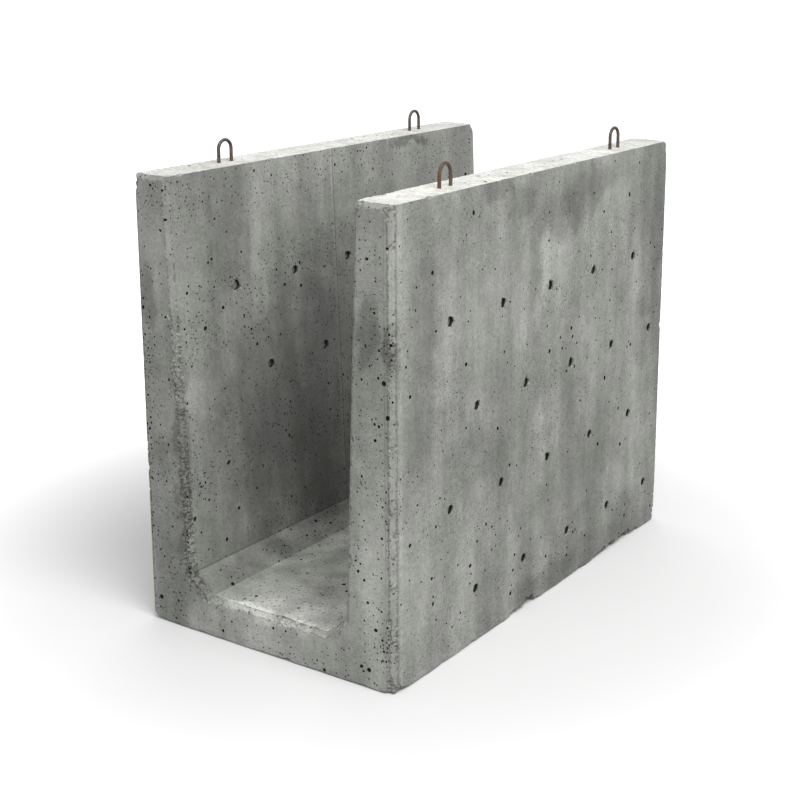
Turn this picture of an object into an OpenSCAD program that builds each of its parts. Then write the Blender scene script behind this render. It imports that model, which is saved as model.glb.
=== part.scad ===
// Precast concrete drainage channel: one U-shaped casting with four lifting loops.
// Units are millimetres. X runs across the channel, Y along it and Z up.
// The origin is the centre of the underside; the front end faces -Y.

/* [Casting] */
// Width across the two outer faces
channel_w = 1005; // [700:5:2000]
// Length between the two end faces
channel_l = 1745; // [1400:5:3000]
// Height from the underside to the top of the walls
channel_h = 1500; // [1250:5:2400]
// Thickness of a wall at its top
wall_top_t = 140; // [100:1:220]
// Thickness of a wall at the level of the channel bed
wall_foot_t = 192; // [120:1:300]
// Thickness of the floor under the bed
floor_t = 137; // [80:1:250]
// How far a haunch reaches across the bed
haunch_w = 75; // [20:1:150]
// How far a haunch reaches up the wall
haunch_h = 62; // [20:1:150]

/* [Edges] */
// Chamfer on the edges of the two end faces
end_chamfer = 15; // [4:1:30]
// Rounding of the lower left long edge
foot_round_r = 25; // [5:1:60]

/* [Form tie recesses] */
// Radius of a recess
tie_r = 16; // [8:0.5:25]
// Depth of a recess
tie_depth = 15; // [5:1:40]
// Spacing along a row
tie_pitch = 296; // [150:1:600]
// Front end to the first recess of the top row
tie_first_y = 297; // [60:1:340]
// Least distance from the back end to a recess
tie_end_margin = 60; // [40:1:200]
// Height of the lowest row
tie_low_z = 187; // [100:1:220]
// Height of the second row
tie_second_z = 505; // [400:5:600]
// Spacing of the rows above the second one
tie_row_pitch = 300; // [200:5:310]

/* [Lifting loops] */
// Diameter of the bar
loop_bar_d = 12; // [8:0.5:20]
// Distance between the centres of the two legs
loop_leg_gap = 60; // [40:1:120]
// Rise of the loop above the wall
loop_rise = 78; // [70:1:160]
// Depth of the legs in the wall
loop_anchor = 300; // [150:5:500]
// Outer face to the middle of the bar
loop_from_face = 65; // [30:1:90]
// Front end to the middle of a front loop
front_loop_y = 357; // [150:1:600]
// Back end to the middle of a back loop
back_loop_y = 316; // [150:1:600]

/* [Hidden] */

concrete = [0.60, 0.61, 0.58];
rusty_steel = [0.33, 0.24, 0.18];

// How far a cutting shape runs past the face it cuts
past = 2;
// The rounded edge is drawn as this many straight steps
round_steps = 8;

half_w = channel_w / 2;
half_l = channel_l / 2;
haunch_top_z = floor_t + haunch_h;

// Heights of the rows of recesses, from the bottom up
tie_rows = [
    tie_low_z,
    tie_second_z,
    tie_second_z + tie_row_pitch,
    tie_second_z + 2 * tie_row_pitch
];
// Only the two upper rows also show in the channel
first_inner_row = 2;

bar_r = loop_bar_d / 2;
crown_r = loop_leg_gap / 2;
crown_z = channel_h + loop_rise - bar_r - crown_r;
loop_x = half_w - loop_from_face;
front_loop_centre = -half_l + front_loop_y;
back_loop_centre = half_l - back_loop_y;

// Thickness of a wall at a height: it tapers evenly from the bed to the top
function wall_t(z) =
    wall_top_t + (wall_foot_t - wall_top_t) * (channel_h - z) / (channel_h - floor_t);

// Distance from the middle plane to the inner face of a wall at a height
function inner_x(z) = half_w - wall_t(z);

// Front end to the first recess of a row; every second row starts half a pitch later
function row_start(row) = tie_first_y + (row % 2 == 0 ? tie_pitch / 2 : 0);

// The last recess of a row that still stays clear of the back end, counted from 0
function last_column(row) = floor((channel_l - tie_end_margin - row_start(row)) / tie_pitch);

// Outline of the casting without its trough, seen from the front end
module outer_outline() {
    left_round = [
        for (i = [0 : round_steps])
            let (a = 180 + 90 * i / round_steps)
            [-half_w + foot_round_r * (1 + cos(a)), foot_round_r * (1 + sin(a))]
    ];
    polygon(concat(left_round, [[half_w, 0], [half_w, channel_h], [-half_w, channel_h]]));
}

// Outline of the trough, open past the top of the walls
module trough_outline() {
    top_z = channel_h + 2 * end_chamfer;
    bed_x = inner_x(floor_t) - haunch_w;
    polygon([
        [-bed_x, floor_t],
        [bed_x, floor_t],
        [inner_x(haunch_top_z), haunch_top_z],
        [inner_x(top_z), top_z],
        [-inner_x(top_z), top_z],
        [-inner_x(haunch_top_z), haunch_top_z]
    ]);
}

// Turns an outline in X and Z into a prism centred on a place along Y
module along_y(length, y = 0) {
    translate([0, y + length / 2, 0])
        rotate([90, 0, 0])
            linear_extrude(length)
                children();
}

// Square bar on a corner: it takes the chamfer off an edge that runs along its length
module edge_cutter(length) {
    rotate(45)
        cube([end_chamfer * sqrt(2), end_chamfer * sqrt(2), length], center = true);
}

// Flared mouth that chamfers the whole edge of the trough at one end
module trough_mouth(side) {
    hull() {
        along_y(past, side * (half_l - end_chamfer - past / 2))
            trough_outline();
        along_y(past, side * (half_l + past / 2))
            offset(delta = end_chamfer)
                trough_outline();
    }
}

// Chamfers on the outer upright edges and on the top edge of one end
module end_edge_cutters(side) {
    for (x = [-half_w, half_w])
        translate([x, side * half_l, channel_h / 2])
            edge_cutter(channel_h + 2 * past);
    translate([0, side * half_l, channel_h])
        rotate([0, 90, 0])
            edge_cutter(channel_w + 2 * past);
}

// One round recess, sunk to its depth in a wall face at x; side is the way its mouth points
module tie_recess(x, y, z, side) {
    translate([x - side * tie_depth, y, z])
        rotate([0, side * 90, 0])
            cylinder(r = tie_r, h = tie_depth + past, $fn = 48);
}

// All recesses of one wall
module tie_recesses(wall) {
    for (row = [0 : len(tie_rows) - 1], column = [0 : last_column(row)]) {
        y = -half_l + row_start(row) + column * tie_pitch;
        z = tie_rows[row];
        tie_recess(wall * half_w, y, z, wall);
        if (row >= first_inner_row)
            tie_recess(wall * inner_x(z), y, z, -wall);
    }
}

// Bent bar: two legs and a half-round crown, standing in the plane of the wall
module loop_bar(x, y) {
    leg_foot_z = channel_h - loop_anchor;
    for (leg = [-crown_r, crown_r])
        translate([x, y + leg, leg_foot_z])
            cylinder(r = bar_r, h = crown_z - leg_foot_z, $fn = 32);
    translate([x, y, crown_z])
        rotate([90, 0, 90])
            rotate_extrude(angle = 180, $fn = 64)
                translate([crown_r, 0])
                    circle(r = bar_r, $fn = 32);
}

// Holes that the legs were cast into
module leg_sockets(x, y) {
    for (leg = [-crown_r, crown_r])
        translate([x, y + leg, channel_h - loop_anchor])
            cylinder(r = bar_r, h = loop_anchor + past, $fn = 32);
}

module channel_body() {
    color(concrete)
    difference() {
        along_y(channel_l)
            outer_outline();
        along_y(channel_l + 2 * past)
            trough_outline();
        for (side = [-1, 1]) {
            trough_mouth(side);
            end_edge_cutters(side);
            tie_recesses(side);
            leg_sockets(side * loop_x, front_loop_centre);
            leg_sockets(side * loop_x, back_loop_centre);
        }
    }
}

module lifting_loop(x, y) {
    color(rusty_steel)
        loop_bar(x, y);
}

channel_body();
lifting_loop(-loop_x, front_loop_centre);  // lifting_loop_left_front
lifting_loop(loop_x, front_loop_centre);  // lifting_loop_right_front
lifting_loop(-loop_x, back_loop_centre);  // lifting_loop_left_back
lifting_loop(loop_x, back_loop_centre);  // lifting_loop_right_back
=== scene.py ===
"""A precast concrete drainage channel: one U-shaped casting with four lifting loops in its wall tops.

The sections follow the making of the channel: the pour in its form, what stripping and handling took off
the arrises, the form tie recesses, the air holes, the finish of the concrete, then the lifting loops.
All lengths are metres.
"""
import math
import random

import bmesh
import bpy
from mathutils import Matrix, Vector, noise


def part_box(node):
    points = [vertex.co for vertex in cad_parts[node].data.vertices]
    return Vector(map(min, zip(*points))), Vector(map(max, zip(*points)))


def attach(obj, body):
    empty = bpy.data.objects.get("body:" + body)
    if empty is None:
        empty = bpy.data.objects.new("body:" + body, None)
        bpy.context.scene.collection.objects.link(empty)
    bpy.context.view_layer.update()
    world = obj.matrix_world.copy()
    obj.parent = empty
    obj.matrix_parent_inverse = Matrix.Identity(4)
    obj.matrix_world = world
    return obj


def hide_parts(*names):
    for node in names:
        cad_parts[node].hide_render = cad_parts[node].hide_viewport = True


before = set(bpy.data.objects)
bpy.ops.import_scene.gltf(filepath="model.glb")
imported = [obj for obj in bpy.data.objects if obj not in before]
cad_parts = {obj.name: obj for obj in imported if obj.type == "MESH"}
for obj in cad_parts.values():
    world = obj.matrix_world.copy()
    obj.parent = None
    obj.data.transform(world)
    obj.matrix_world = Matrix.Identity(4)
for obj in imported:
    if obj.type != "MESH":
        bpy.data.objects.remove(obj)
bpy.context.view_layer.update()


# ---------------------------------------------------------------------------
# The casting as it leaves the form
# One pour of grey concrete in a steel form, the bottom slab and both walls together. Chamfer strips in the
# form slope every edge of the two end faces, and a rounded form corner softens the lower left edge.
# ---------------------------------------------------------------------------
casting_low, casting_high = (Vector(corner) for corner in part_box("channel_body"))
half_w, half_l, height = casting_high.x, casting_high.y, casting_high.z
wall_top_t, wall_foot_t = 0.140, 0.192
bed_z = 0.137
haunch_w, haunch_h = 0.075, 0.062
haunch_z = bed_z + haunch_h
end_chamfer = 0.015
foot_round = 0.025


def inner_x(z):
    """How far the inner face of a wall stands from the middle plane at a height."""
    return half_w - wall_top_t - (wall_foot_t - wall_top_t) * (height - z) / (height - bed_z)


right_half = [
    (half_w, 0.0),
    (half_w, height),
    (inner_x(height), height),
    (inner_x(haunch_z), haunch_z),
    (inner_x(bed_z) - haunch_w, bed_z),
]
section = right_half + [(-x, z) for x, z in reversed(right_half)]

form = bmesh.new()
front_end = form.faces.new([form.verts.new((x, -half_l, z)) for x, z in section])
foot = [vert for vert in front_end.verts if vert.co.x < -half_w + 0.001 and vert.co.z < 0.001]
bmesh.ops.bevel(form, geom=foot, offset=foot_round, segments=6, profile=0.5, affect="VERTICES", material=-1)
front_end = form.faces[:][0]
poured = bmesh.ops.extrude_face_region(form, geom=[front_end], use_keep_orig=True)["geom"]
bmesh.ops.translate(form, vec=(0, 2 * half_l, 0),
                    verts=[part for part in poured if isinstance(part, bmesh.types.BMVert)])
bmesh.ops.recalc_face_normals(form, faces=form.faces)
chamfered = [
    edge for edge in form.edges
    if abs(edge.verts[0].co.y - edge.verts[1].co.y) < 1e-6
    and max(vert.co.z for vert in edge.verts) > 0.0005
]
bmesh.ops.bevel(form, geom=chamfered, offset=end_chamfer, segments=1, profile=0.5,
                affect="EDGES", material=-1)
bmesh.ops.recalc_face_normals(form, faces=form.faces)

# The air hole and recess finishes are darker than the formed concrete: painted shade inside holes and recesses.
formed, broken, air, trowelled, recess_shade_slot = range(5)
casting_finishes = [
    bpy.data.materials.new(name)
    for name in ("formed_concrete", "broken_concrete", "air_hole_painted_shade", "trowelled_concrete",
                 "recess_painted_shade")
]
casting_mesh = bpy.data.meshes.new("channel_casting")
form.to_mesh(casting_mesh)
form.free()
casting = bpy.data.objects.new("channel_casting", casting_mesh)
bpy.context.scene.collection.objects.link(casting)
for finish in casting_finishes:
    casting_mesh.materials.append(finish)


def take_off(waste, finish):
    """Cut a closed shape out of the casting, and leave the cut faces in a finish, or in the shape's own if None."""
    for face in waste.faces:
        if finish is not None:
            face.material_index = finish
    waste_mesh = bpy.data.meshes.new("waste")
    waste.to_mesh(waste_mesh)
    waste.free()
    for each in casting_finishes:
        waste_mesh.materials.append(each)
    waste_piece = bpy.data.objects.new("waste", waste_mesh)
    bpy.context.scene.collection.objects.link(waste_piece)
    cut = casting.modifiers.new("cut", "BOOLEAN")
    cut.operation, cut.solver, cut.object = "DIFFERENCE", "MANIFOLD", waste_piece
    graph = bpy.context.evaluated_depsgraph_get()
    result = bpy.data.meshes.new_from_object(casting.evaluated_get(graph))
    casting.modifiers.remove(cut)
    spent = casting.data
    casting.data = result
    bpy.data.meshes.remove(spent)
    bpy.data.objects.remove(waste_piece)
    bpy.data.meshes.remove(waste_mesh)
    result.name = "channel_casting"


# ---------------------------------------------------------------------------
# The worn arrises and the trowelled wall tops
# Concrete leaves its form with thin weak corners, and lifting and stacking chip them, most of all at the
# feet and where the mix was short of mortar. The wall tops were open in the form and were trowelled by hand.
# ---------------------------------------------------------------------------
rough_places = [  # place, reach, how much deeper the concrete is broken there
    ((0.500, -0.872, 1.060), 0.10, 0.0050),
    ((0.495, -0.872, 0.170), 0.09, 0.0070),
    ((0.500, -0.860, 0.010), 0.07, 0.0140),
    ((0.500, -0.872, 1.490), 0.05, 0.0050),
    ((0.370, -0.860, 1.495), 0.05, 0.0040),
    ((0.362, -0.700, 1.500), 0.08, 0.0050),
    ((0.502, 0.560, 0.000), 0.24, 0.0300),
    ((0.502, -0.110, 0.000), 0.10, 0.0340),
    ((0.502, 0.250, 0.000), 0.10, 0.0060),
    ((-0.335, -0.865, 0.480), 0.42, 0.0075),
    ((-0.345, -0.865, 0.900), 0.25, 0.0040),
    ((-0.330, -0.865, 0.200), 0.12, 0.0080),
    ((-0.237, -0.865, 0.130), 0.06, 0.0030),
    ((-0.500, -0.868, 1.490), 0.05, 0.0120),
    ((0.362, -0.868, 1.495), 0.05, 0.0090),
    ((-0.500, -0.868, 0.560), 0.10, 0.0030),
    ((0.320, -0.868, 0.650), 0.20, 0.0020),
    ((0.502, 0.860, 0.060), 0.10, 0.0090),
    ((-0.500, 0.868, 0.900), 0.12, 0.0040),
    ((-0.362, 0.300, 1.500), 0.10, 0.0040),
    ((0.500, 0.862, 1.500), 0.05, 0.0140),
    ((-0.362, 0.862, 1.500), 0.05, 0.0140),
    ((-0.500, 0.862, 1.500), 0.05, 0.0100),
    ((0.330, 0.868, 0.300), 0.20, 0.0030),
]
rough_places = [(Vector(place), reach, extra) for place, reach, extra in rough_places]


def bite(point):
    """How deep an arris is worn at a point: a little everywhere, chips here and there, more where it is rough."""
    depth = 0.0010 + 0.0010 * noise.fractal(point * 80, 0.8, 2.1, 4)
    chip = noise.noise(point * 24 + Vector((7.3, 1.1, 4.6)))
    depth += 0.018 * max(0.0, chip - 0.33)
    if point.z < 0.02:
        depth += 0.0035 + 0.004 * noise.noise(point * 14)
    crumble = 0.50 + 1.1 * noise.fractal(point * 95 + Vector((2.2, 9.7, 5.4)), 0.7, 2.2, 4)
    for place, reach, extra in rough_places:
        gap = (point - place).length / reach
        if gap < 1.0:
            coarse = 0.60 + 0.75 * noise.fractal(point * 32, 0.9, 2.1, 3)
            depth += extra * (coarse if extra > 0.009 else crumble) * (1.0 - gap * gap) ** 2
    return max(0.0003, depth)


def ragged_waste(waste, along, across, lay):
    """Add a closed strip whose inner skin is ragged. lay(i, j) gives a point, the way in, and the depth there."""
    swept = waste.calc_volume(signed=True) if waste.faces else 0.0
    skin_verts = bmesh.ops.create_grid(waste, x_segments=along, y_segments=across, size=0.5)["verts"]
    skin = list({face for vert in skin_verts for face in vert.link_faces})
    lifted = bmesh.ops.extrude_face_region(waste, geom=skin, use_keep_orig=True)["geom"]
    back_verts = [part for part in lifted if isinstance(part, bmesh.types.BMVert)]
    laid = {}
    for verts, standing_off in ((skin_verts, False), (back_verts, True)):
        for vert in verts:
            step = (round((vert.co.x + 0.5) * along), round((vert.co.y + 0.5) * across))
            if step not in laid:
                laid[step] = lay(*step)
            point, inward, depth = laid[step]
            vert.co = point - inward * 0.030 if standing_off else point + inward * depth
    faces = list({face for vert in skin_verts + back_verts for face in vert.link_faces})
    bmesh.ops.recalc_face_normals(waste, faces=faces)
    if waste.calc_volume(signed=True) < swept:
        bmesh.ops.reverse_faces(waste, faces=faces)


def long_arris(waste, start, end, one, other, reach_one, reach_other, pitch=0.0075):
    """Waste along a straight square edge; one and other are the ways in from its two faces."""
    along = round((end - start).length / pitch)
    spread = (1.0, 0.55, 0.28, 0.13, 0.04)
    offsets = [(other, share * reach_one) for share in spread] + [(other, 0.0)] + \
              [(one, share * reach_other) for share in reversed(spread)]
    corner_in = (one + other).normalized()

    def lay(i, j):
        over, offset = offsets[j]
        point = start.lerp(end, i / along) + over * offset
        return point, corner_in, bite(point) - 0.72 * offset

    ragged_waste(waste, along, len(offsets) - 1, lay)


waste = bmesh.new()
left, right, up, down = Vector((-1, 0, 0)), Vector((1, 0, 0)), Vector((0, 0, 1)), Vector((0, 0, -1))
near_end, far_end = -half_l - 0.01, half_l + 0.01
for x, inward in ((half_w, left), (-half_w, right), (inner_x(height), right), (-inner_x(height), left)):
    long_arris(waste, Vector((x, near_end, height)), Vector((x, far_end, height)), inward, down, 0.022, 0.022)
long_arris(waste, Vector((half_w, near_end, 0)), Vector((half_w, far_end, 0)), left, up, 0.070, 0.050)
take_off(waste, broken)
waste = bmesh.new()
for y, inward in ((-half_l, Vector((0, 1, 0))), (half_l, Vector((0, -1, 0)))):
    long_arris(waste, Vector((-half_w - 0.01, y, 0)), Vector((half_w + 0.01, y, 0)), inward, up, 0.030, 0.030)
take_off(waste, broken)

# The outline runs from the right foot over the right wall, through the trough and over the left wall.
outline = section[:-1] + [
    (-half_w + foot_round * (1 - math.cos(math.radians(turn))), foot_round * (1 - math.sin(math.radians(turn))))
    for turn in range(0, 91, 15)
]
lengths = [(Vector(b) - Vector(a)).length for a, b in zip(outline, outline[1:])]


def edge_out(first, second):
    run = (Vector(second) - Vector(first)).normalized()
    return Vector((run.y, -run.x))


sides_out = [edge_out(a, b) for a, b in zip(outline, outline[1:])]
corner_outs = [sides_out[0]]
for one, other in zip(sides_out, sides_out[1:]):
    both = (one + other).normalized()
    corner_outs.append(both / both.dot(one))
corner_outs.append(sides_out[-1])


def stations_at(pitch):
    """Places round the outline at about a pitch, each with its way out, mitred at the corners."""
    places = []
    for start, end, length, first_out, last_out in zip(outline, outline[1:], lengths, corner_outs, corner_outs[1:]):
        count = max(2, round(length / pitch))
        places += [(Vector(start).lerp(Vector(end), k / count), first_out.lerp(last_out, k / count))
                   for k in range(count)]
    return places + [(Vector(outline[-1]), corner_outs[-1])]


profile = [(0.0, end_chamfer + t, t) for t in (0.020, 0.009, 0.004, 0.0015)]
profile += [(end_chamfer * share, end_chamfer * (1 - share), 0.0212 * min(share, 1 - share))
            for share in (0.0, 0.12, 0.35, 0.65, 0.88, 1.0)]
profile += [(end_chamfer + t, 0.0, t) for t in (0.0015, 0.004, 0.009, 0.022, 0.040)]

for end, pitch in ((-1, 0.0045), (1, 0.0085)):
    waste = bmesh.new()
    stations = stations_at(pitch)

    def lay(i, j):
        place, out = stations[i]
        inset, back, away = profile[j]
        spot = place - out * inset
        point = Vector((spot.x, end * (half_l - back), spot.y))
        inward = Vector((-out.x, -end, -out.y)).normalized()
        return point, inward, bite(point) - 0.45 * away

    ragged_waste(waste, len(stations) - 1, len(profile) - 1, lay)
    take_off(waste, broken)

waste = bmesh.new()
for wall in (-1, 1):
    middle_x = wall * (half_w + inner_x(height)) / 2

    def lay(i, j):
        point = Vector((middle_x + (j / 12 - 0.5) * 0.160, -half_l - 0.01 + i * (2 * half_l + 0.02) / 150, height))
        ripple = 0.0011 + 0.0008 * noise.fractal(point * 22, 0.9, 2.0, 4) + 0.0006 * noise.noise(point * 6)
        return point, down, max(0.0003, ripple)

    ragged_waste(waste, 150, 12, lay)
take_off(waste, trowelled)


# ---------------------------------------------------------------------------
# The form tie recesses
# Cones on the form ties leave round blind recesses in rows on the outer faces and in the two upper rows
# inside. Pulling the cones out chipped the rims of some. Their bottoms and deep walls are darkened as painted shade.
# ---------------------------------------------------------------------------
tie_r, tie_depth = 0.016, 0.015
tie_pitch = 0.296
tie_first_y = 0.297 - half_l
tie_rows = (0.187, 0.505, 0.805, 1.105)
waste = bmesh.new()
dice = random.Random(60)


def recess(place, outward, chipped):
    """One recess cut along its outward way, with its rim chipped by up to a length."""
    ring = bmesh.ops.create_circle(waste, cap_ends=True, segments=26, radius=tie_r * 0.94)["verts"]
    edges = list({edge for vert in ring for edge in vert.link_edges})
    rings = [(ring, -tie_depth, 0.94, 0.0)]
    # Painted shade: the bottom of a recess takes the darker recess finish, and the deep part of its wall the
    # near-black air hole finish, for the shade inside the recess.
    for face in {face for vert in ring for face in vert.link_faces}:
        face.material_index = recess_shade_slot
    for level, spread, share in ((-0.005, 0.98, 0.15), (-0.0018, 1.0, 0.6), (0.0, 1.0, 1.0), (0.004, 1.0, 1.3)):
        geom = bmesh.ops.extrude_edge_only(waste, edges=edges)["geom"]
        edges = [part for part in geom if isinstance(part, bmesh.types.BMEdge)]
        rings.append(([part for part in geom if isinstance(part, bmesh.types.BMVert)], level, spread, share))
        for edge in edges:
            for face in edge.link_faces:
                face.material_index = air if level < -0.004 else broken
    bmesh.ops.edgeloop_fill(waste, edges=edges)
    turn = outward.to_track_quat("Z", "Y").to_matrix().to_4x4()
    seed = Vector((dice.uniform(0, 90), dice.uniform(0, 90), 0))
    for verts, level, spread, share in rings:
        for vert in verts:
            way = Vector((vert.co.x, vert.co.y, 0)).normalized()
            chip = chipped * max(0.0, 0.30 + noise.fractal(way * 1.1 + seed, 0.8, 2.0, 3)) * share
            vert.co = way * (tie_r * spread + chip) + Vector((0, 0, level))
            vert.co = Matrix.Translation(place) @ turn @ vert.co


for wall in (-1, 1):
    for row, z in enumerate(tie_rows):
        for column in range(5):
            y = tie_first_y + (column + (0.5 if row % 2 == 0 else 0.0)) * tie_pitch
            near_chip = 0.009 if dice.random() < 0.25 else 0.0012
            recess(Vector((wall * half_w, y, z)), Vector((wall, 0, 0)), near_chip)
            if row >= 2:
                face_out = Vector((-wall, 0, wall * 0)).normalized()
                recess(Vector((wall * inner_x(z), y, z)), face_out, 0.020 if (row, column) == (3, 0) else near_chip)
bmesh.ops.recalc_face_normals(waste, faces=waste.faces)
take_off(waste, None)


# ---------------------------------------------------------------------------
# The air holes
# Air trapped against the form leaves small round holes in every formed face, thickest low down and near
# the ends, where the vibrator reached least. A few run together into honeycomb. The holes are cut in a
# near-black finish, which is painted shade standing in for the dark inside them.
# ---------------------------------------------------------------------------
dice = random.Random(1745)
waste = bmesh.new()
batch_of_holes = bmesh.new()
taken = {}


def clear_of_others(place, radius):
    cell = tuple(int(math.floor(c / 0.02)) for c in place)
    for dx in (-1, 0, 1):
        for dy in (-1, 0, 1):
            for dz in (-1, 0, 1):
                for other, other_radius in taken.get((cell[0] + dx, cell[1] + dy, cell[2] + dz), ()):
                    if (other - place).length < (radius + other_radius) * 1.25:
                        return False
    taken.setdefault(cell, []).append((place, radius))
    return True


def air_hole(place, outward, radius):
    """One hole: a rounded pocket where it is large enough to see into, otherwise a six-sided pit."""
    if not clear_of_others(place, radius):
        return
    shape = Matrix.Diagonal((dice.uniform(0.8, 1.15), dice.uniform(0.8, 1.2), dice.uniform(0.9, 1.4), 1))
    turn = outward.to_track_quat("Z", "Y").to_matrix().to_4x4() @ Matrix.Rotation(dice.uniform(0, 6.28), 4, "Z")
    where = Matrix.Translation(place) @ turn @ shape
    if radius > 0.0060:
        bmesh.ops.create_icosphere(batch_of_holes, subdivisions=2, radius=radius, matrix=where)
    else:
        bmesh.ops.create_cone(batch_of_holes, cap_ends=True, segments=6 if radius < 0.0042 else 8,
                              radius1=radius * 0.6, radius2=radius * 1.1, depth=radius * 2.2, matrix=where)
    if len(batch_of_holes.faces) > 900:
        add_batch()


def add_batch():
    """Gather the holes in small batches, which is much quicker than growing one large mesh."""
    gathered = bpy.data.meshes.new("batch")
    batch_of_holes.to_mesh(gathered)
    waste.from_mesh(gathered)
    bpy.data.meshes.remove(gathered)
    batch_of_holes.clear()


def pepper(corner, along, rise, outward, per_m2, crowd=None):
    """Scatter air holes over a flat face from one corner, more where crowd(point) is above one."""
    area = along.length * rise.length
    for _ in range(round(area * per_m2 * 2.0)):
        point = corner + along * dice.random() + rise * dice.random()
        pull = 0.5 * (crowd(point) if crowd else 1.0) * (0.35 + 1.3 * max(0.0, 0.5 + noise.noise(point * 4.5)))
        if dice.random() > pull:
            continue
        radius = min(0.0080, max(0.0019, 0.0033 * math.exp(dice.gauss(0.0, 0.38))))
        air_hole(point - outward * radius * dice.uniform(-0.1, 0.3), outward, radius)


def low_and_near_ends(point):
    return 0.75 + 0.7 * max(0.0, 1 - point.z / 0.9) + 1.0 * max(0.0, 1 - (half_l - abs(point.y)) / 0.25)


def crowded_on_side(point):
    """The right wall has a thick cluster of holes near its middle."""
    cluster = max(0.0, 1 - math.hypot((point.y - 0.18) / 0.42, (point.z - 0.86) / 0.30))
    return low_and_near_ends(point) * 0.9 + 2.6 * cluster


length = Vector((0, 2 * half_l - 0.06, 0))
for wall in (-1, 1):
    out = Vector((wall, 0, 0))
    pepper(Vector((wall * half_w, -half_l + 0.03, 0.03)), length, Vector((0, 0, height - 0.05)), out, 185 if wall > 0 else 130,
           crowded_on_side if wall > 0 else low_and_near_ends)
    slope = Vector((wall * (inner_x(height) - inner_x(haunch_z)), 0, height - haunch_z))
    pepper(Vector((wall * inner_x(haunch_z), -half_l + 0.03, haunch_z)), length, slope * 0.985,
           Vector((-slope.z, 0, slope.x)).normalized() * wall, 250 if wall < 0 else 180, low_and_near_ends)
    haunch = Vector((wall * (inner_x(haunch_z) - inner_x(bed_z) + haunch_w), 0, haunch_h))
    pepper(Vector((wall * (inner_x(bed_z) - haunch_w), -half_l + 0.03, bed_z)), length, haunch,
           Vector((-haunch.z, 0, haunch.x)).normalized() * wall, 420)
    for end in (-1, 1):
        pepper(Vector((wall * (half_w - 0.015), end * half_l, 0.015)), Vector((-wall * 0.13, 0, 0)),
               Vector((0, 0, height - 0.04)), Vector((0, end, 0)), 520 if end < 0 else 280, lambda point: 1.0 + 0.5 * (point.z < 0.7))
pepper(Vector((-0.235, -half_l + 0.03, bed_z)), Vector((0.47, 0, 0)), length, up, 120)
for end in (-1, 1):
    pepper(Vector((-0.36, end * half_l, 0.012)), Vector((0.72, 0, 0)), Vector((0, 0, 0.10)), Vector((0, end, 0)), 400)

honeycombs = [  # place, way out, reach, number
    ((0.495, -0.866, 1.060), (0.7, -0.7, 0), (0.006, 0.006, 0.085), 55),
    ((-0.470, -half_l, 0.900), (0, -1, 0), (0.025, 0, 0.20), 60),
    ((0.470, -half_l, 0.170), (0, -1, 0), (0.018, 0, 0.07), 40),
    ((-0.330, -0.866, 0.330), (0.7, -0.7, 0), (0.006, 0.006, 0.16), 50),
]
for place, out, reach, number in honeycombs:
    for _ in range(number):
        offset = Vector((dice.gauss(0, 0.6) * reach[0], dice.gauss(0, 0.6) * reach[1], dice.gauss(0, 0.6) * reach[2]))
        air_hole(Vector(place) + offset, Vector(out).normalized(), dice.uniform(0.0020, 0.0050))
for wall in (-1, 1):
    top_corner = Vector((wall * (half_w - 0.012), -half_l + 0.03, height - 0.001))
    pepper(top_corner, length, Vector((-wall * (wall_top_t - 0.024), 0, 0)), up, 210)
add_batch()
batch_of_holes.free()
take_off(waste, air)

# The cuts free a few crumbs of concrete, which fall away.
cast = bmesh.new()
cast.from_mesh(casting.data)
islands, unseen = [], set(cast.verts)
while unseen:
    island, edge_of_island = set(), [unseen.pop()]
    while edge_of_island:
        vert = edge_of_island.pop()
        island.add(vert)
        for edge in vert.link_edges:
            other = edge.other_vert(vert)
            if other in unseen:
                unseen.remove(other)
                edge_of_island.append(other)
    islands.append(island)
islands.sort(key=len)
for crumb in islands[:-1]:
    bmesh.ops.delete(cast, geom=list(crumb), context="VERTS")
cast.to_mesh(casting.data)
cast.free()


# ---------------------------------------------------------------------------
# The finish of the concrete
# Formed faces are grey and mottled, with pale and dark runs down the walls and stains where water stood.
# The lower inner walls are darkened partly by damp and partly as painted shade, the trough bed is paler as
# painted light, and pin-head pores, air holes and tie recesses are darkened as painted shade.
# Broken and trowelled faces show the same mix opened up: pale mortar, sand and a little dark stone.
# ---------------------------------------------------------------------------
def shade(tree, kind, inputs=(), **settings):
    """Add a node; an input given as a socket is linked, any other is set as a value."""
    new = tree.nodes.new(kind)
    for name, value in settings.items():
        setattr(new, name, value)
    for name, value in dict(inputs).items():
        if isinstance(value, bpy.types.NodeSocket):
            tree.links.new(value, new.inputs[name])
        else:
            new.inputs[name].default_value = value
    return new


def maths(tree, operation, first, second=0.0, clamp=False):
    return shade(tree, "ShaderNodeMath", {0: first, 1: second}, operation=operation, use_clamp=clamp).outputs[0]


def ramp(tree, value, start, stop, low=0.0, high=1.0):
    return shade(tree, "ShaderNodeMapRange", {"Value": value, "From Min": start, "From Max": stop,
                                              "To Min": low, "To Max": high},
                 interpolation_type="SMOOTHSTEP").outputs[0]


def tint(tree, factor, first, second, blend="MIX"):
    return shade(tree, "ShaderNodeMix", {0: factor, 6: first, 7: second}, data_type="RGBA", blend_type=blend,
                 clamp_factor=True).outputs[2]


def cloud(tree, where, scale, detail=4.0, roughness=0.55, stretch=None):
    if stretch:
        where = shade(tree, "ShaderNodeMapping", {"Vector": where, "Scale": stretch}).outputs[0]
    return shade(tree, "ShaderNodeTexNoise", {"Vector": where, "Scale": scale, "Detail": detail,
                                              "Roughness": roughness}).outputs["Fac"]
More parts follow.
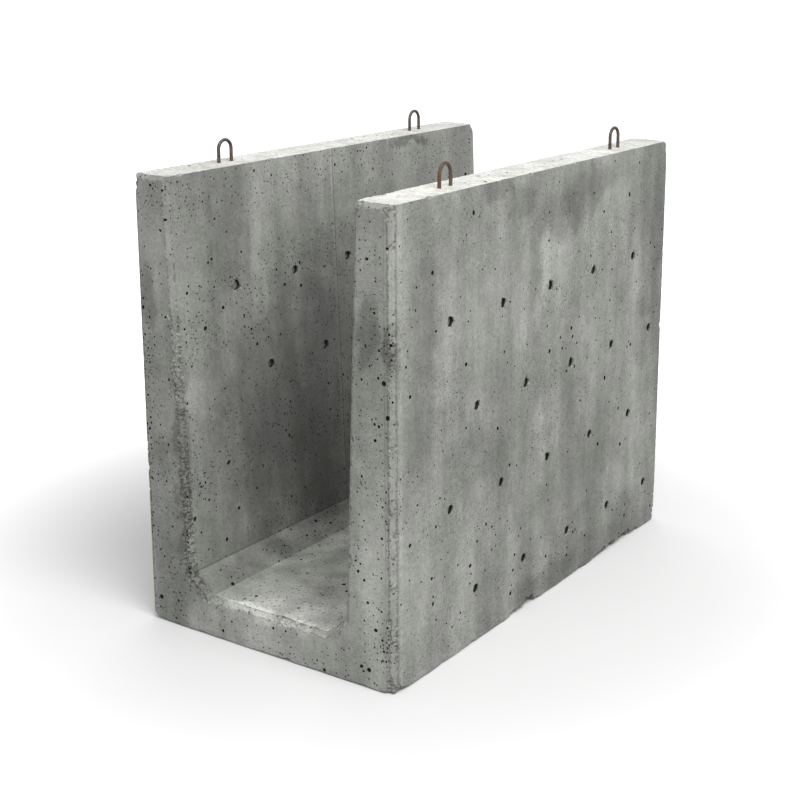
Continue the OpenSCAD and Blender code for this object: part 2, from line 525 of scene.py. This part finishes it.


# One stain or patch of painted shade: a soft-edged patch round a place, reaching so far each way, ragged because
# it reads warped places.
stain = bpy.data.node_groups.new("concrete_stain_or_painted_shade", "ShaderNodeTree")
stain.interface.new_socket("Surface", in_out="INPUT", socket_type="NodeSocketVector")
stain.interface.new_socket("Place", in_out="INPUT", socket_type="NodeSocketVector")
stain.interface.new_socket("Reach", in_out="INPUT", socket_type="NodeSocketVector")
stain.interface.new_socket("Mask", in_out="OUTPUT", socket_type="NodeSocketFloat")
stain_in, stain_out = stain.nodes.new("NodeGroupInput"), stain.nodes.new("NodeGroupOutput")
away = shade(stain, "ShaderNodeVectorMath", {0: stain_in.outputs["Surface"], 1: stain_in.outputs["Place"]},
             operation="SUBTRACT").outputs[0]
away = shade(stain, "ShaderNodeVectorMath", {0: away, 1: stain_in.outputs["Reach"]}, operation="DIVIDE").outputs[0]
away = shade(stain, "ShaderNodeVectorMath", {0: away}, operation="LENGTH").outputs["Value"]
stain.links.new(ramp(stain, away, 1.0, 0.35), stain_out.inputs["Mask"])

# The mix itself: large clouds of tone, runs down the walls, mottling, sand grain and pin-head pores. The pores
# are bumped in, and the finishes darken them as painted shade.
mix = bpy.data.node_groups.new("concrete_mix", "ShaderNodeTree")
for name in ("Clouds", "Runs", "Mottle", "Freckle", "Grain", "Pores_and_painted_shade", "Relief"):
    mix.interface.new_socket(name, in_out="OUTPUT", socket_type="NodeSocketFloat")
mix_out = mix.nodes.new("NodeGroupOutput")
spot = mix.nodes.new("ShaderNodeTexCoord").outputs["Object"]
clouds = cloud(mix, spot, 2.1, 6.0, 0.6)
runs = cloud(mix, spot, 1.0, 5.0, 0.55, (7.5, 7.5, 0.9))
mottle = cloud(mix, spot, 17.0, 9.0, 0.68)
freckle = cloud(mix, spot, 95.0, 5.0, 0.75)
grain = cloud(mix, spot, 420.0, 3.0, 0.7)
crowd = ramp(mix, cloud(mix, spot, 5.0, 3.0), 0.36, 0.62, 0.66, 0.12)
pores_and_painted_shade = None
for cell_scale, rim, heart, rarer in ((56.0, 0.200, 0.150, 0.04), (115.0, 0.24, 0.14, 0.34)):
    cells = shade(mix, "ShaderNodeTexVoronoi", {"Vector": spot, "Scale": cell_scale}, feature="F1")
    lucky = shade(mix, "ShaderNodeSeparateColor", {"Color": cells.outputs["Color"]}).outputs[0]
    lucky = maths(mix, "GREATER_THAN", lucky, maths(mix, "ADD", crowd, rarer))
    holes = maths(mix, "MULTIPLY", ramp(mix, cells.outputs["Distance"], rim, heart), lucky)
    pores_and_painted_shade = holes if pores_and_painted_shade is None else maths(mix, "MAXIMUM", pores_and_painted_shade, holes)
relief = maths(mix, "ADD", maths(mix, "MULTIPLY", mottle, 0.40), maths(mix, "MULTIPLY", freckle, 0.35))
relief = maths(mix, "ADD", relief, maths(mix, "MULTIPLY", grain, 0.14))
relief = maths(mix, "SUBTRACT", relief, maths(mix, "MULTIPLY", pores_and_painted_shade, 0.8))
for name, value in (("Clouds", clouds), ("Runs", runs), ("Mottle", mottle), ("Freckle", freckle), ("Grain", grain),
                    ("Pores_and_painted_shade", pores_and_painted_shade), ("Relief", relief)):
    mix.links.new(value, mix_out.inputs[name])


def start_finish(material):
    """Clear a material to its shader, and put the concrete mix beside it."""
    material.use_nodes = True
    tree = material.node_tree
    body = tree.nodes["Principled BSDF"]
    body.inputs["Specular IOR Level"].default_value = 0.3
    batch = tree.nodes.new("ShaderNodeGroup")
    batch.node_tree = mix
    return tree, body, batch.outputs


def end_finish(tree, body, colour, relief, strength, depth, roughness):
    tree.links.new(colour, body.inputs["Base Color"])
    bump = shade(tree, "ShaderNodeBump", {"Height": relief, "Strength": strength, "Distance": depth})
    tree.links.new(bump.outputs[0], body.inputs["Normal"])
    if isinstance(roughness, bpy.types.NodeSocket):
        tree.links.new(roughness, body.inputs["Roughness"])
    else:
        body.inputs["Roughness"].default_value = roughness


def scaled(tree, colour, amount):
    """A colour made lighter or darker by a factor that changes over the surface."""
    grey = shade(tree, "ShaderNodeCombineColor", {0: amount, 1: amount, 2: amount}).outputs[0]
    return tint(tree, 1.0, colour, grey, "MULTIPLY")


stains_and_painted_shade = [  # place, reach, how dark (below 1) or pale (above 1)
    ((-0.363, 0.42, 1.480), (0.06, 0.17, 0.035), 0.62),
    ((-0.350, -0.62, 1.300), (0.08, 0.10, 0.30), 0.86),
    ((-0.340, -0.25, 0.95), (0.10, 0.07, 0.45), 1.16),
    ((-0.345, -0.47, 1.05), (0.10, 0.05, 0.50), 1.16),
    ((-0.350, 0.22, 1.28), (0.10, 0.25, 0.16), 1.12),
    ((-0.335, -0.62, 0.70), (0.10, 0.09, 0.60), 1.12),
    ((-0.330, 0.25, 0.75), (0.08, 0.30, 0.35), 0.80),
    ((0.5025, -0.31, 1.469), (0.08, 0.14, 0.06), 0.66),
    ((0.5025, -0.19, 1.421), (0.08, 0.14, 0.09), 0.74),
    ((0.5025, 0.067, 1.336), (0.08, 0.20, 0.14), 0.70),
    ((0.5025, 0.220, 1.380), (0.08, 0.20, 0.14), 0.74),
    ((0.5025, 0.339, 1.418), (0.08, 0.16, 0.10), 0.74),
    ((0.5025, -0.439, 0.727), (0.08, 0.08, 0.12), 0.84),
    ((0.5025, -0.350, 0.630), (0.08, 0.11, 0.13), 0.85),
    ((0.5025, -0.690, 1.150), (0.08, 0.07, 0.30), 0.86),
    ((0.5025, 0.687, 0.780), (0.08, 0.10, 0.24), 0.74),
    ((0.5025, 0.80, 1.05), (0.08, 0.07, 0.50), 0.80),
    ((0.5025, 0.66, 0.70), (0.06, 0.05, 0.70), 1.12),
    ((0.5025, -0.028, 1.200), (0.08, 0.050, 0.170), 1.27),
    ((0.5025, -0.053, 1.060), (0.08, 0.05, 0.11), 1.20),
    ((0.5025, -0.05, 0.80), (0.08, 0.12, 0.40), 1.12),
    ((0.5025, 0.50, 1.25), (0.08, 0.13, 0.22), 1.16),
    ((0.5025, -0.55, 0.95), (0.08, 0.12, 0.40), 1.10),
    ((0.5025, 0.30, 0.05), (0.08, 0.60, 0.10), 0.78),
    ((0.5025, 0.62, 0.10), (0.08, 0.20, 0.14), 0.80),
    ((0.5025, -0.12, 0.05), (0.08, 0.12, 0.09), 0.80),
    ((0.5025, -0.62, 0.10), (0.08, 0.10, 0.25), 1.12),
    ((0.5025, -0.052, 0.655), (0.06, 0.05, 0.08), 1.20),
    ((0.5025, 0.00, 0.534), (0.06, 0.04, 0.06), 1.18),
    ((0.5025, -0.031, 0.435), (0.06, 0.05, 0.05), 1.18),
    ((0.5025, 0.014, 0.160), (0.06, 0.05, 0.09), 1.15),
    ((0.41, -0.872, 1.130), (0.06, 0.08, 0.15), 0.68),
    ((-0.455, -0.872, 1.100), (0.06, 0.08, 0.16), 0.72),
    ((-0.431, -0.872, 0.603), (0.05, 0.08, 0.10), 0.78),
    ((-0.500, -0.85, 0.204), (0.03, 0.06, 0.08), 0.80),
    # Partly damp staining and partly painted shade: the lower inner left wall darkened for the shade the trough casts
    # on it.
    ((-0.335, 0.10, 0.60), (0.12, 1.20, 0.85), 0.46),
    ((-0.345, -0.10, 1.10), (0.10, 0.95, 0.45), 0.88),
    # Partly damp staining and partly painted shade: the lower inner right wall darkened the same way.
    ((0.335, 0.10, 0.66), (0.10, 0.75, 0.60), 0.74),
    ((0.490, -0.868, 1.070), (0.035, 0.05, 0.12), 0.60),
    ((-0.335, -0.866, 0.560), (0.045, 0.05, 0.52), 0.66),
    ((-0.290, -0.866, 0.180), (0.08, 0.05, 0.07), 0.80),
    ((0.5025, 0.00, 0.120), (0.08, 0.95, 0.22), 0.90),
    ((0.275, 0.0, 0.165), (0.08, 1.3, 0.07), 0.78),
    ((-0.275, 0.0, 0.165), (0.08, 1.3, 0.07), 0.78),
    ((0.0, -0.866, 0.128), (0.32, 0.04, 0.035), 1.30),
    ((0.0, -0.872, 0.060), (0.50, 0.08, 0.13), 1.35),
    ((0.43, -0.872, 0.45), (0.08, 0.08, 0.75), 1.22),
    ((-0.43, -0.872, 0.85), (0.09, 0.08, 0.60), 1.08),
    ((0.05, -0.55, 0.137), (0.12, 0.22, 0.04), 0.80),
    ((-0.5025, 0.30, 1.38), (0.06, 0.25, 0.10), 0.78),
    ((-0.5025, -0.35, 0.80), (0.06, 0.10, 0.40), 0.86),
    ((-0.5025, 0.10, 0.60), (0.06, 0.06, 0.35), 1.14),
]
def lay_stains_and_painted_shade(tree, tone):
    """Lay every stain, and the painted shade low on the inner walls, over a tone."""
    spot = tree.nodes.new("ShaderNodeTexCoord").outputs["Object"]
    wander = shade(tree, "ShaderNodeTexNoise", {"Vector": spot, "Scale": 9.0, "Detail": 5.0, "Roughness": 0.65})
    wander = shade(tree, "ShaderNodeVectorMath", {0: wander.outputs["Color"], 1: (0.5, 0.5, 0.5)},
                   operation="SUBTRACT").outputs[0]
    wander = shade(tree, "ShaderNodeVectorMath", {0: wander, "Scale": 0.16}, operation="SCALE").outputs[0]
    warped = shade(tree, "ShaderNodeVectorMath", {0: spot, 1: wander}, operation="ADD").outputs[0]
    for place, reach, level in stains_and_painted_shade:
        patch = tree.nodes.new("ShaderNodeGroup")
        patch.node_tree = stain
        tree.links.new(warped, patch.inputs["Surface"])
        patch.inputs["Place"].default_value = place
        patch.inputs["Reach"].default_value = reach
        tone = maths(tree, "MULTIPLY", tone, ramp(tree, patch.outputs["Mask"], 0.0, 1.0, 1.0, level))
    return tone


tree, body, batch = start_finish(casting_finishes[formed])
spot = tree.nodes.new("ShaderNodeTexCoord").outputs["Object"]
tone = maths(tree, "MULTIPLY", ramp(tree, batch["Clouds"], 0.30, 0.70, 0.82, 1.17),
             ramp(tree, batch["Runs"], 0.32, 0.68, 0.80, 1.20))
tone = maths(tree, "MULTIPLY", tone, ramp(tree, batch["Mottle"], 0.25, 0.75, 0.90, 1.10))
tone = maths(tree, "MULTIPLY", tone, ramp(tree, batch["Freckle"], 0.30, 0.70, 0.82, 1.15))
tone = maths(tree, "MULTIPLY", tone, ramp(tree, batch["Grain"], 0.25, 0.75, 0.88, 1.12))
tone = lay_stains_and_painted_shade(tree, tone)
# Painted shade: pin-head pores are darkened to about a fifth, for the shade inside them.
tone = maths(tree, "MULTIPLY", tone, ramp(tree, batch["Pores_and_painted_shade"], 0.0, 1.0, 1.0, 0.22))
east, north, high_up = (shade(tree, "ShaderNodeSeparateXYZ", {"Vector": spot}).outputs[k] for k in range(3))
facing = tree.nodes.new("ShaderNodeNewGeometry").outputs["Normal"]
flatness = shade(tree, "ShaderNodeSeparateXYZ", {"Vector": facing}).outputs[2]
# Painted light: the low flat bed inside the trough is made up to 1.6 times paler, standing in for light that the
# walls keep off it.
bed_with_painted_light = maths(tree, "MULTIPLY", ramp(tree, flatness, 0.86, 0.98), ramp(tree, high_up, 0.40, 0.20))
tone = maths(tree, "MULTIPLY", tone, ramp(tree, bed_with_painted_light, 0.0, 1.0, 1.0, 1.60))


def line(distance, half, level, within=None):
    """A thin line along a face, where form panels met or along the foot and head of the haunch: how far a point is
    from it, half its width, and its tone.
    """
    mark = ramp(tree, maths(tree, "ABSOLUTE", distance), half, half * 0.3)
    if within is not None:
        mark = maths(tree, "MULTIPLY", mark, within)
    return ramp(tree, mark, 0.0, 1.0, 1.0, level)


# A dark line on the bed along the foot of each haunch, and a fainter dark line along the head of the haunch inside
# the trough.
foot_of_haunch = maths(tree, "SUBTRACT", maths(tree, "ABSOLUTE", east), inner_x(bed_z) - haunch_w + 0.004)
tone = maths(tree, "MULTIPLY", tone, line(foot_of_haunch, 0.0050, 0.42, bed_with_painted_light))
head_of_haunch = maths(tree, "SUBTRACT", high_up, haunch_z + 0.002)
inside = maths(tree, "MULTIPLY", ramp(tree, maths(tree, "ABSOLUTE", east), 0.42, 0.40),
               ramp(tree, maths(tree, "ABSOLUTE", north), half_l - 0.012, half_l - 0.015))
tone = maths(tree, "MULTIPLY", tone, line(head_of_haunch, 0.004, 0.72, inside))
joint = maths(tree, "ADD", north, 0.050)
on_left_inside = maths(tree, "MULTIPLY", inside, maths(tree, "LESS_THAN", east, -0.25))
tone = maths(tree, "MULTIPLY", tone, line(joint, 0.0035, 0.68, on_left_inside))
tone = maths(tree, "MULTIPLY", tone, line(maths(tree, "ADD", north, 0.058), 0.006, 1.14, on_left_inside))
at_front = ramp(tree, north, -half_l + 0.013, -half_l + 0.011)
side_strip = maths(tree, "MULTIPLY", maths(tree, "GREATER_THAN", east, half_w - 0.003),
                   maths(tree, "GREATER_THAN", 0.0, north))
tone = maths(tree, "MULTIPLY", tone,
             line(maths(tree, "ADD", north, half_l - end_chamfer - 0.004), 0.004, 0.70, side_strip))
tone = maths(tree, "MULTIPLY", tone,
             line(maths(tree, "ADD", north, half_l - end_chamfer - 0.022), 0.012, 1.12, side_strip))
for strip_x, level in ((half_w - 0.0185, 0.60), (half_w - 0.030, 0.84), (-half_w + 0.020, 0.84)):
    tone = maths(tree, "MULTIPLY", tone, line(maths(tree, "SUBTRACT", east, strip_x), 0.0028, level, at_front))
grey_mix = tint(tree, ramp(tree, cloud(tree, spot, 4.0, 5.0), 0.35, 0.65),
                (0.296, 0.308, 0.278, 1), (0.308, 0.309, 0.293, 1))
end_finish(tree, body, scaled(tree, grey_mix, tone), batch["Relief"], 0.45, 0.0022,
           ramp(tree, batch["Mottle"], 0.3, 0.7, 0.78, 0.92))

tree, body, batch = start_finish(casting_finishes[broken])
stones = shade(tree, "ShaderNodeTexVoronoi", {"Scale": 110.0}, feature="F1")
tree.links.new(tree.nodes.new("ShaderNodeTexCoord").outputs["Object"], stones.inputs["Vector"])
tone = maths(tree, "MULTIPLY", ramp(tree, batch["Mottle"], 0.25, 0.75, 0.80, 1.22),
             ramp(tree, batch["Grain"], 0.25, 0.75, 0.88, 1.12))
# Painted shade: pin-head pores on broken faces are darkened, for the shade inside them.
tone = lay_stains_and_painted_shade(tree, maths(tree, "MULTIPLY", tone, ramp(tree, batch["Pores_and_painted_shade"], 0.0, 1.0, 1.0, 0.3)))
tone = maths(tree, "MULTIPLY", tone, ramp(tree, stones.outputs["Distance"], 0.25, 0.75, 1.12, 0.62))
relief = maths(tree, "SUBTRACT", batch["Relief"], maths(tree, "MULTIPLY", stones.outputs["Distance"], 0.6))
end_finish(tree, body, scaled(tree, (0.300, 0.302, 0.282, 1), tone), relief, 0.8, 0.003, 0.9)

# Painted shade: the air hole finish is near black, for the shade inside holes too small and shallow to go dark by
# themselves.
tree, body, batch = start_finish(casting_finishes[air])
tone = ramp(tree, batch["Mottle"], 0.3, 0.7, 0.6, 1.4)
end_finish(tree, body, scaled(tree, (0.024, 0.024, 0.022, 1), tone), batch["Relief"], 0.3, 0.001, 0.95)

tree, body, batch = start_finish(casting_finishes[trowelled])
tone = maths(tree, "MULTIPLY", ramp(tree, batch["Mottle"], 0.28, 0.72, 0.78, 1.12),
             ramp(tree, batch["Clouds"], 0.3, 0.7, 0.88, 1.08))
tone = maths(tree, "MULTIPLY", tone, ramp(tree, batch["Freckle"], 0.30, 0.70, 0.80, 1.12))
tone = maths(tree, "MULTIPLY", tone, ramp(tree, batch["Grain"], 0.25, 0.75, 0.93, 1.07))
# Painted shade: pin-head pores on the trowelled tops are darkened, for the shade inside them.
tone = maths(tree, "MULTIPLY", tone, ramp(tree, batch["Pores_and_painted_shade"], 0.0, 1.0, 1.0, 0.5))
end_finish(tree, body, scaled(tree, (0.640, 0.640, 0.600, 1), tone), batch["Relief"], 0.6, 0.002, 0.88)

# Painted shade: the recess finish is a darker grey than the formed face, for the shade inside the tie recesses.
tree, body, batch = start_finish(casting_finishes[recess_shade_slot])
tone = maths(tree, "MULTIPLY", ramp(tree, batch["Mottle"], 0.25, 0.75, 0.70, 1.20),
             ramp(tree, batch["Grain"], 0.25, 0.75, 0.88, 1.12))
end_finish(tree, body, scaled(tree, (0.230, 0.231, 0.215, 1), tone), batch["Relief"], 0.6, 0.0015, 0.9)

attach(casting, "root")
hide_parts("channel_body")


# ---------------------------------------------------------------------------
# The lifting loops
# Four hoops of plain round steel bar, bent by hand over a former and cast 300 mm deep into the wall tops.
# They stand bare in the weather, so they are brown with rust, orange where it is fresh.
# ---------------------------------------------------------------------------
bar_r = 0.006
rust = bpy.data.materials.new("rusted_bar")
rust.use_nodes = True
tree = rust.node_tree
body = tree.nodes["Principled BSDF"]
spot = tree.nodes.new("ShaderNodeTexCoord").outputs["Object"]
scale_marks = cloud(tree, spot, 60.0, 6.0, 0.65)
bloom = cloud(tree, spot, 24.0, 5.0, 0.6)
pits = cloud(tree, spot, 320.0, 5.0, 0.7)
colour = tint(tree, ramp(tree, scale_marks, 0.35, 0.65), (0.050, 0.043, 0.038, 1), (0.135, 0.110, 0.090, 1))
east, north, high_up = (shade(tree, "ShaderNodeSeparateXYZ", {"Vector": spot}).outputs[k] for k in range(3))
fresher = maths(tree, "MULTIPLY", ramp(tree, east, 0.0, 0.1), ramp(tree, north, 0.1, 0.0, 0.35, 1.0))
fresher = maths(tree, "ADD", maths(tree, "MULTIPLY", fresher, 0.16), bloom)
colour = tint(tree, ramp(tree, fresher, 0.56, 0.72, 0.0, 0.85), colour, (0.125, 0.066, 0.040, 1))
colour = scaled(tree, colour, ramp(tree, pits, 0.3, 0.7, 0.75, 1.2))
body.inputs["Metallic"].default_value = 0.25
end_finish(tree, body, colour, pits, 0.5, 0.0008, ramp(tree, bloom, 0.45, 0.7, 0.55, 0.85))

for loop_name, point_up, seed in (
    ("lifting_loop_left_front", 0.0, 3.0),
    ("lifting_loop_right_front", 0.16, 14.0),
    ("lifting_loop_left_back", 0.05, 27.0),
    ("lifting_loop_right_back", 0.0, 38.0),
):
    low, high = (Vector(corner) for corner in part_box(loop_name))
    middle = (low + high) / 2
    across_y = (high.y - low.y) > (high.x - low.x)
    spread = max(high.x - low.x, high.y - low.y) / 2 - bar_r
    crown_z = high.z - bar_r - spread
    bar = bmesh.new()
    ring = bmesh.ops.create_circle(bar, cap_ends=True, segments=14, radius=bar_r,
                                   matrix=Matrix.Translation((spread, 0, low.z)))["verts"]
    edges = list({edge for vert in ring for edge in vert.link_edges})

    def draw_up(distance, steps):
        global edges
        for _ in range(steps):
            geom = bmesh.ops.extrude_edge_only(bar, edges=edges)["geom"]
            edges = [part for part in geom if isinstance(part, bmesh.types.BMEdge)]
            verts = [part for part in geom if isinstance(part, bmesh.types.BMVert)]
            bmesh.ops.translate(bar, verts=verts, vec=(0, 0, distance / steps))

    draw_up(1.49 - low.z, 6)
    draw_up(crown_z - 1.49, 12)
    bent = bmesh.ops.spin(bar, geom=edges, cent=(0, 0, crown_z), axis=(0, -1, 0), angle=math.pi, steps=22,
                          use_duplicate=False)["geom_last"]
    edges = [part for part in bent if isinstance(part, bmesh.types.BMEdge)]
    draw_up(1.49 - crown_z, 12)
    draw_up(low.z - 1.49, 6)
    bmesh.ops.edgeloop_fill(bar, edges=edges)
    for vert in bar.verts:
        rise = max(0.0, (vert.co.z - crown_z) / (spread + bar_r))
        centre = Vector((math.copysign(spread, vert.co.x), 0, vert.co.z))
        if vert.co.z > crown_z:
            centre = Vector((0, 0, crown_z)) + Vector((vert.co.x, 0, vert.co.z - crown_z)).normalized() * spread
        rusting = 0.00012 + 0.00030 * noise.fractal(vert.co * 260 + Vector((seed, 0, 0)), 0.8, 2.0, 3)
        vert.co -= (vert.co - centre).normalized() * max(0.0, rusting)
        vert.co.x *= 1 - point_up * math.sin(math.pi * min(1.0, rise)) * 0.55
    turn = Matrix.Rotation(math.pi / 2, 4, "Z") if across_y else Matrix.Identity(4)
    bmesh.ops.transform(bar, matrix=Matrix.Translation((middle.x, middle.y, 0)) @ turn, verts=bar.verts)
    bmesh.ops.recalc_face_normals(bar, faces=bar.faces)
    for face in bar.faces:
        face.smooth = True
    loop_mesh = bpy.data.meshes.new(loop_name + "_bar")
    bar.to_mesh(loop_mesh)
    bar.free()
    loop_mesh.materials.append(rust)
    loop = bpy.data.objects.new(loop_name + "_bar", loop_mesh)
    bpy.context.scene.collection.objects.link(loop)
    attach(loop, "root")
    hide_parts(loop_name)


# ---------------------------------------------------------------------------
# The studio
# A plain pale floor under an even white room, with one broad soft lamp in front and above and a weaker one
# behind. The floor and the room show white, and the floor keeps the channel's soft contact shadow.
# ---------------------------------------------------------------------------
ground = bmesh.new()
bmesh.ops.create_grid(ground, x_segments=1, y_segments=1, size=60.0)
floor_mesh = bpy.data.meshes.new("studio_floor")
ground.to_mesh(floor_mesh)
ground.free()
floor = bpy.data.objects.new("studio_floor", floor_mesh)
bpy.context.scene.collection.objects.link(floor)
pale = bpy.data.materials.new("pale_floor")
pale.use_nodes = True
tree = pale.node_tree
tree.nodes.clear()
seen = tree.nodes.new("ShaderNodeLightPath").outputs["Is Camera Ray"]
spot = tree.nodes.new("ShaderNodeTexCoord").outputs["Object"]
far_out = shade(tree, "ShaderNodeVectorMath", {0: spot}, operation="LENGTH").outputs["Value"]
plain = shade(tree, "ShaderNodeBsdfDiffuse", {"Color": (0.50, 0.50, 0.50, 1)}).outputs[0]
shown = shade(tree, "ShaderNodeAddShader", {
    0: shade(tree, "ShaderNodeBsdfDiffuse", {"Color": (0.74, 0.74, 0.74, 1)}).outputs[0],
    1: shade(tree, "ShaderNodeEmission", {"Color": (1, 1, 1, 1),
                                          "Strength": ramp(tree, far_out, 1.0, 3.4, 0.05, 0.95)}).outputs[0],
}).outputs[0]
shown = shade(tree, "ShaderNodeMixShader", {0: seen, 1: plain, 2: shown}).outputs[0]
shade(tree, "ShaderNodeOutputMaterial", {"Surface": shown})
floor_mesh.materials.append(pale)

room = bpy.data.worlds.new("studio_room")
bpy.context.scene.world = room
room.use_nodes = True
tree = room.node_tree
tree.nodes.clear()
path = tree.nodes.new("ShaderNodeLightPath")
direct = maths(tree, "MAXIMUM", path.outputs["Is Camera Ray"],
               maths(tree, "MAXIMUM", path.outputs["Is Glossy Ray"], path.outputs["Is Transmission Ray"]))
lit = shade(tree, "ShaderNodeBackground", {"Color": (1, 1, 1, 1), "Strength": 0.55}).outputs[0]
white = shade(tree, "ShaderNodeBackground", {"Color": (1, 1, 1, 1), "Strength": 1.0}).outputs[0]
shade(tree, "ShaderNodeOutputWorld",
      {"Surface": shade(tree, "ShaderNodeMixShader", {0: direct, 1: lit, 2: white}).outputs[0]})


def soft_lamp(name, place, aim, size, watts):
    lamp_data = bpy.data.lights.new(name, "AREA")
    lamp_data.shape, lamp_data.size, lamp_data.energy = "DISK", size, watts
    lamp = bpy.data.objects.new(name, lamp_data)
    lamp.location = place
    lamp.rotation_euler = (Vector(aim) - Vector(place)).to_track_quat("-Z", "Y").to_euler()
    bpy.context.scene.collection.objects.link(lamp)


soft_lamp("front_lamp", (4.2, -2.4, 7.4), (0, 0, 0.7), 5.5, 600)
soft_lamp("back_lamp", (-3.4, 4.0, 6.8), (0, 0, 0.7), 6.0, 120)


# ---------------------------------------------------------------------------
# The camera and the picture
# A standing view from the front right, a little above the wall tops, with the view shifted to keep the
# uprights nearly parallel.
# ---------------------------------------------------------------------------
yaw, pitch, roll = math.radians(32.22), math.radians(13.81), math.radians(0.65)
forward = Vector((-math.sin(yaw) * math.cos(pitch), math.cos(yaw) * math.cos(pitch), -math.sin(pitch)))
level_right = Vector((math.cos(yaw), math.sin(yaw), 0))
level_up = level_right.cross(forward)
eye_right = math.cos(roll) * level_right + math.sin(roll) * level_up
eye_up = -math.sin(roll) * level_right + math.cos(roll) * level_up
camera_data = bpy.data.cameras.new("camera")
camera_data.sensor_width = 36.0
camera_data.lens = 67.57
camera_data.shift_x, camera_data.shift_y = -0.1200, -0.1145
camera = bpy.data.objects.new("camera", camera_data)
camera.matrix_world = Matrix.Translation((2.941247, -4.194296, 2.220190)) @ \
    Matrix((eye_right, eye_up, -forward)).transposed().to_4x4()
bpy.context.scene.collection.objects.link(camera)
bpy.context.scene.camera = camera
bpy.context.scene.view_settings.view_transform = "Standard"
